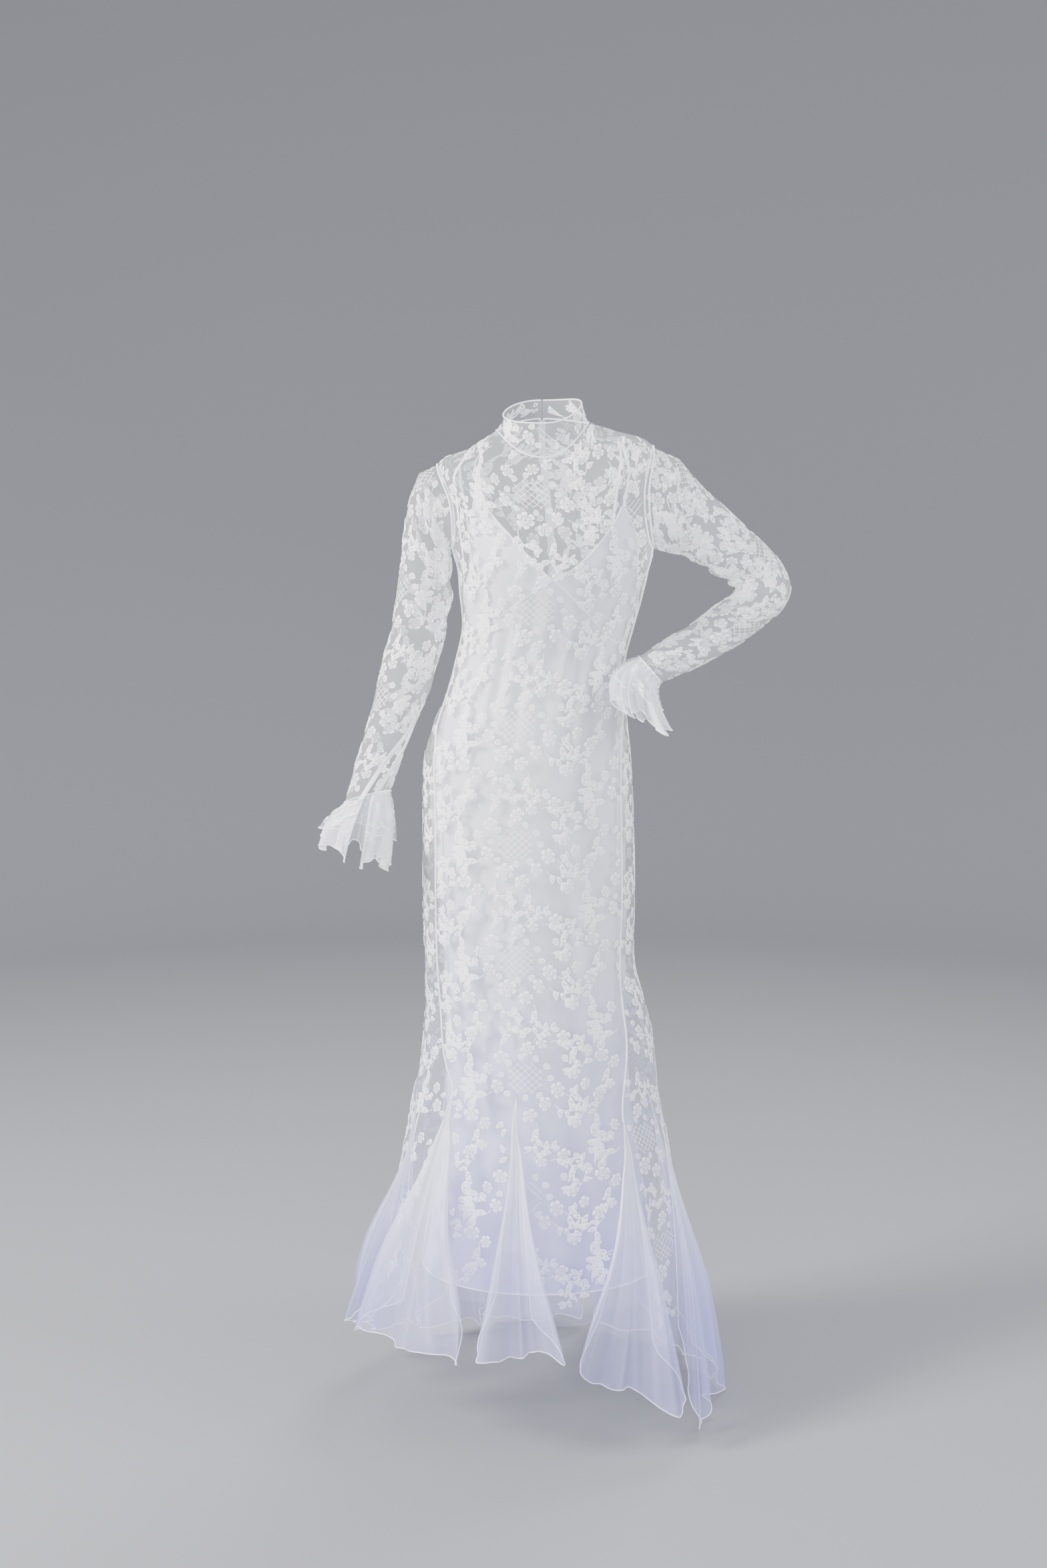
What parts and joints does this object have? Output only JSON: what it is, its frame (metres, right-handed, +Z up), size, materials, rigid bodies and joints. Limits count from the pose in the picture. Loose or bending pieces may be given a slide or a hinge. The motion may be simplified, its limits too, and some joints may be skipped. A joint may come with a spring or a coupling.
{
  "type": "lace gown",
  "caption": "Floor-length long-sleeved lace gown over a plain slip, with a stand collar, ruffled cuffs and sheer godets that flare the hem.",
  "frame": {"origin": "base of the neck, midway between the shoulders, where the wearer holds the gown up, 1.50 m above the floor", "axes": "+Z up, -Y towards the front, +X towards the wearer's left"},
  "size_m": [0.7263, 0.5236, 1.5808],
  "materials": {
    "white_lace": "matt net lace",
    "white_satin": "soft satin",
    "cool_organza": "sheer organza"
  },
  "bodies": {
    "root": {"lace_front": "white_lace", "lace_back_left": "white_lace", "lace_back_right": "white_lace", "collar": "white_lace", "sleeve_left": "white_lace", "sleeve_right": "white_lace", "cuff_lace_left": "white_lace", "cuff_lace_right": "white_lace", "cuff_organza_left": "cool_organza", "cuff_organza_right": "cool_organza", "godet_front": "cool_organza", "godet_side_left": "cool_organza", "godet_side_right": "cool_organza", "godet_left_1": "cool_organza", "godet_left_2": "cool_organza", "godet_left_3": "cool_organza", "godet_back": "cool_organza", "godet_right_1": "cool_organza", "godet_right_2": "cool_organza", "godet_right_3": "cool_organza", "slip_front": "white_satin", "slip_back": "white_satin", "slip_cup_left": "white_satin", "slip_cup_right": "white_satin", "slip_strap_left": "white_satin", "slip_strap_right": "white_satin", "slip_loop_right": "white_satin", "sleeve_placket_right": "white_satin", "back_buttons": "white_satin"}
  },
  "joints": []
}
